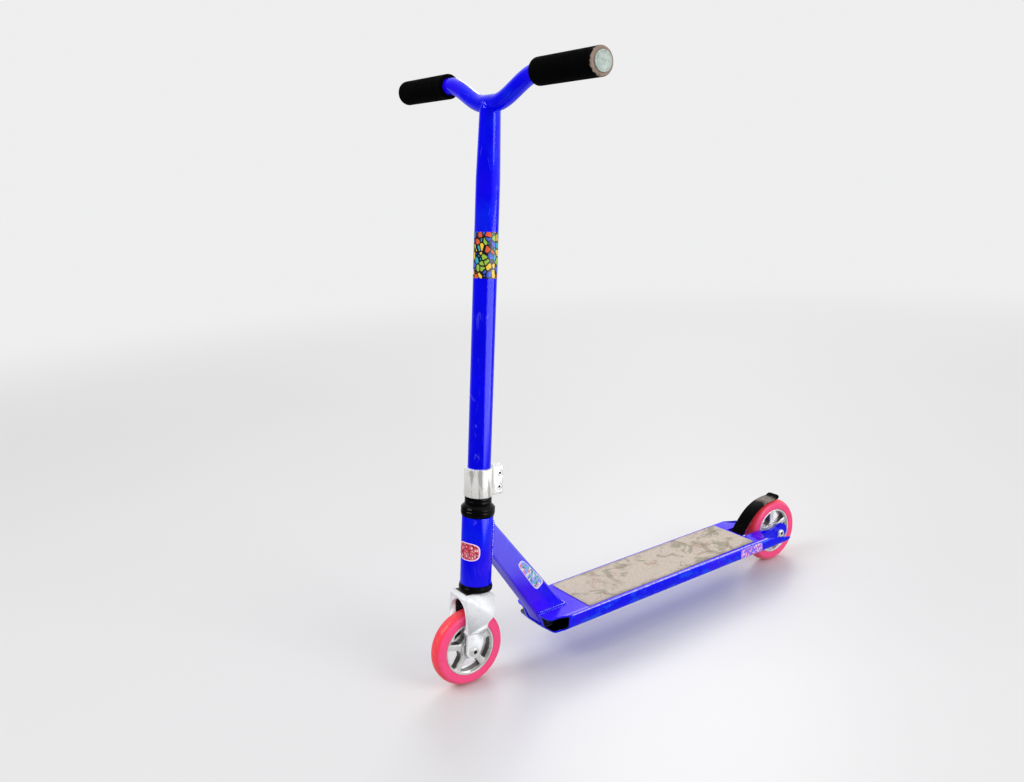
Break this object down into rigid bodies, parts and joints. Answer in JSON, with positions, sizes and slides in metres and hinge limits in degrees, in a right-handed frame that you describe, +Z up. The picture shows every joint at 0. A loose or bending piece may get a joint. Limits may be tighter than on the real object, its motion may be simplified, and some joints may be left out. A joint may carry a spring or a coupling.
{
  "type": "stunt scooter",
  "caption": "Stunt kick scooter with a welded boxed deck and neck, straight fork, T-shaped bar with grips, solid wheels and a flexing strip brake over the rear wheel.",
  "frame": {"origin": "on the floor, midway between the two axles", "axes": "+X to the rider's left along the axles, +Y backwards along the deck from the front wheel to the rear wheel, +Z up"},
  "size_m": [0.444, 0.746, 0.832],
  "materials": {
    "blue_frame_paint": "glossy deep blue coat over an extruded and welded aluminium frame",
    "blue_bar_paint": "glossy deep blue coat over welded steel tube",
    "raw_alloy": "bare forged and turned aluminium, brushed, scuffed at the edges",
    "zinc_steel": "bright zinc plated steel",
    "black_headset": "glossy black anodised aluminium",
    "black_brake": "black coat on spring steel, worn grey where the foot presses",
    "grip_rubber": "matte black ribbed rubber",
    "plug_plastic": "pale grey-green moulded plastic",
    "pink_urethane": "cast hot pink urethane, lightly scuffed",
    "grit": "coarse grip tape, speckled beige and grey with worn dark patches"
  },
  "bodies": {
    "deck_frame": {"deck": "blue_frame_paint", "neck": "blue_frame_paint", "head_tube": "blue_frame_paint", "grip_tape": "grit", "lower_headset_cup": "black_headset", "upper_headset_cup": "black_headset", "lower_headset_bearing": "zinc_steel", "upper_headset_bearing": "zinc_steel", "rear_axle_bolt": "zinc_steel", "rear_axle_nut": "zinc_steel", "rear_axle_spacer_left": "zinc_steel", "rear_axle_spacer_right": "zinc_steel", "brake_foot": "black_brake", "brake_nut_block": "raw_alloy", "brake_bolt_front": "zinc_steel", "brake_bolt_rear": "zinc_steel"},
    "steering": {"fork": "raw_alloy", "steerer_tube": "zinc_steel", "crown_race": "zinc_steel", "compression_ring": "zinc_steel", "headset_cover": "black_headset", "headset_spacer": "black_headset", "compression_shim": "zinc_steel", "compression_cap": "black_headset", "compression_bolt": "zinc_steel", "star_nut": "zinc_steel", "bar_clamp": "raw_alloy", "clamp_bolt_upper": "zinc_steel", "clamp_bolt_lower": "zinc_steel", "handlebar": "blue_bar_paint", "grip_left": "grip_rubber", "grip_right": "grip_rubber", "bar_plug_left": "plug_plastic", "bar_plug_right": "plug_plastic", "front_axle_bolt": "zinc_steel", "front_axle_nut": "zinc_steel", "front_axle_spacer_left": "zinc_steel", "front_axle_spacer_right": "zinc_steel"},
    "front_wheel": {"front_tyre": "pink_urethane", "front_wheel_core": "raw_alloy", "front_bearing_left": "zinc_steel", "front_bearing_right": "zinc_steel", "front_bearing_spacer": "zinc_steel"},
    "rear_wheel": {"rear_tyre": "pink_urethane", "rear_wheel_core": "raw_alloy", "rear_bearing_left": "zinc_steel", "rear_bearing_right": "zinc_steel", "rear_bearing_spacer": "zinc_steel"},
    "brake": {"brake_band": "black_brake"}
  },
  "joints": [
    {"name": "steering", "type": "hinge", "parent": "deck_frame", "child": "steering", "pos_m": [0, -0.30607, 0.05375], "axis": [0, 0.1045, 0.9945], "continuous": true},
    {"name": "front_wheel_spin", "type": "hinge", "parent": "steering", "child": "front_wheel", "pos_m": [0, -0.318, 0.055], "axis": [1, 0, 0], "continuous": true},
    {"name": "rear_wheel_spin", "type": "hinge", "parent": "deck_frame", "child": "rear_wheel", "pos_m": [0, 0.318, 0.055], "axis": [1, 0, 0], "continuous": true},
    {"name": "brake_flex", "type": "hinge", "parent": "deck_frame", "child": "brake", "pos_m": [0, 0.22222, 0.05756], "axis": [-1, 0, 0], "range_deg": [0, 1.25], "stiffness_Nm_per_rad": 60}
  ]
}
